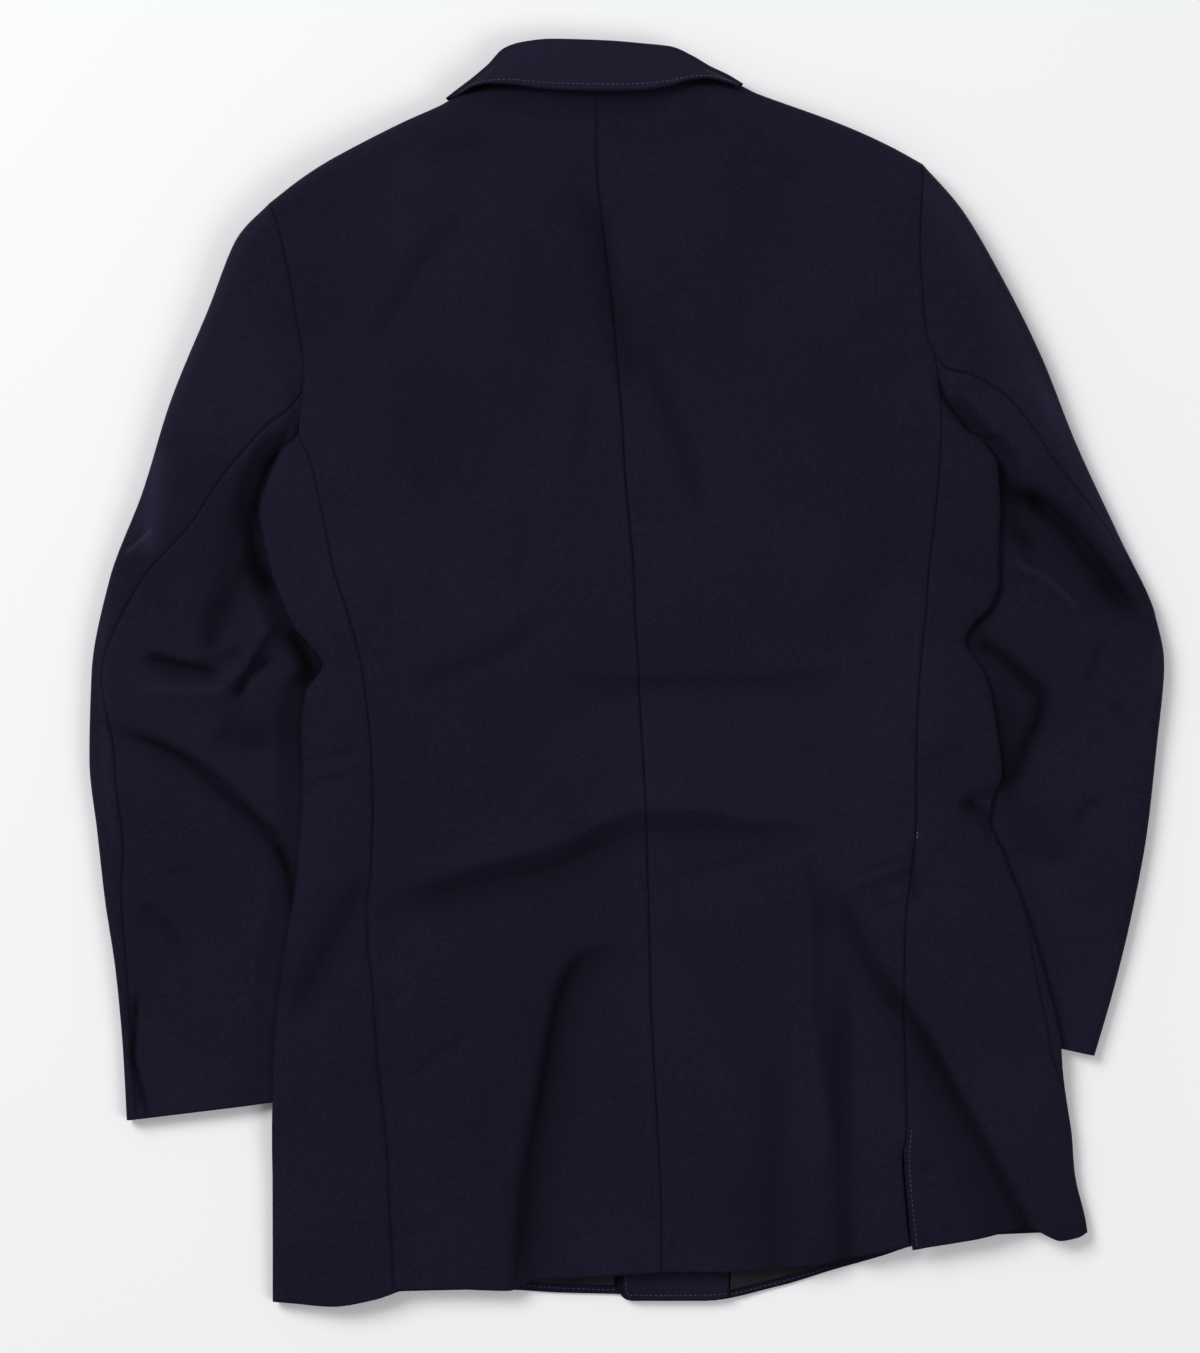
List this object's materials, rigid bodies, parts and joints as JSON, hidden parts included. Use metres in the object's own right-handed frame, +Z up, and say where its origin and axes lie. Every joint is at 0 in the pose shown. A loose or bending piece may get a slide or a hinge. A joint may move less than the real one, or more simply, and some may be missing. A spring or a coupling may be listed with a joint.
{
  "type": "suit jacket",
  "caption": "Navy wool suit jacket laid face down with its back up: back, side bodies with vents, two-piece sleeves, turned collar, lapels and fronts beneath.",
  "frame": {"origin": "middle of the jacket's bounding box, on the surface it lies on", "axes": "+X to the wearer's right, +Y from the hem to the collar, +Z up from the surface, out of the back"},
  "size_m": [0.6981, 0.822, 0.027],
  "materials": {
    "wool": "matte navy wool with a soft sheen",
    "lining": "smooth grey-black twill",
    "button": "satin dark horn"
  },
  "bodies": {
    "root": {"back_left": "wool", "back_right": "wool", "side_left": "wool", "side_right": "wool", "front_left": "wool", "front_right": "wool", "sleeve_upper_left": "wool", "sleeve_upper_right": "wool", "sleeve_under_left": "wool", "sleeve_under_right": "wool", "collar": "wool", "collar_end_left": "wool", "collar_end_right": "wool", "lapel_left": "wool", "lapel_right": "wool", "facing_right": "wool", "lining_left": "lining", "lining_right": "lining", "button_upper": "button", "button_lower": "button"}
  },
  "joints": []
}
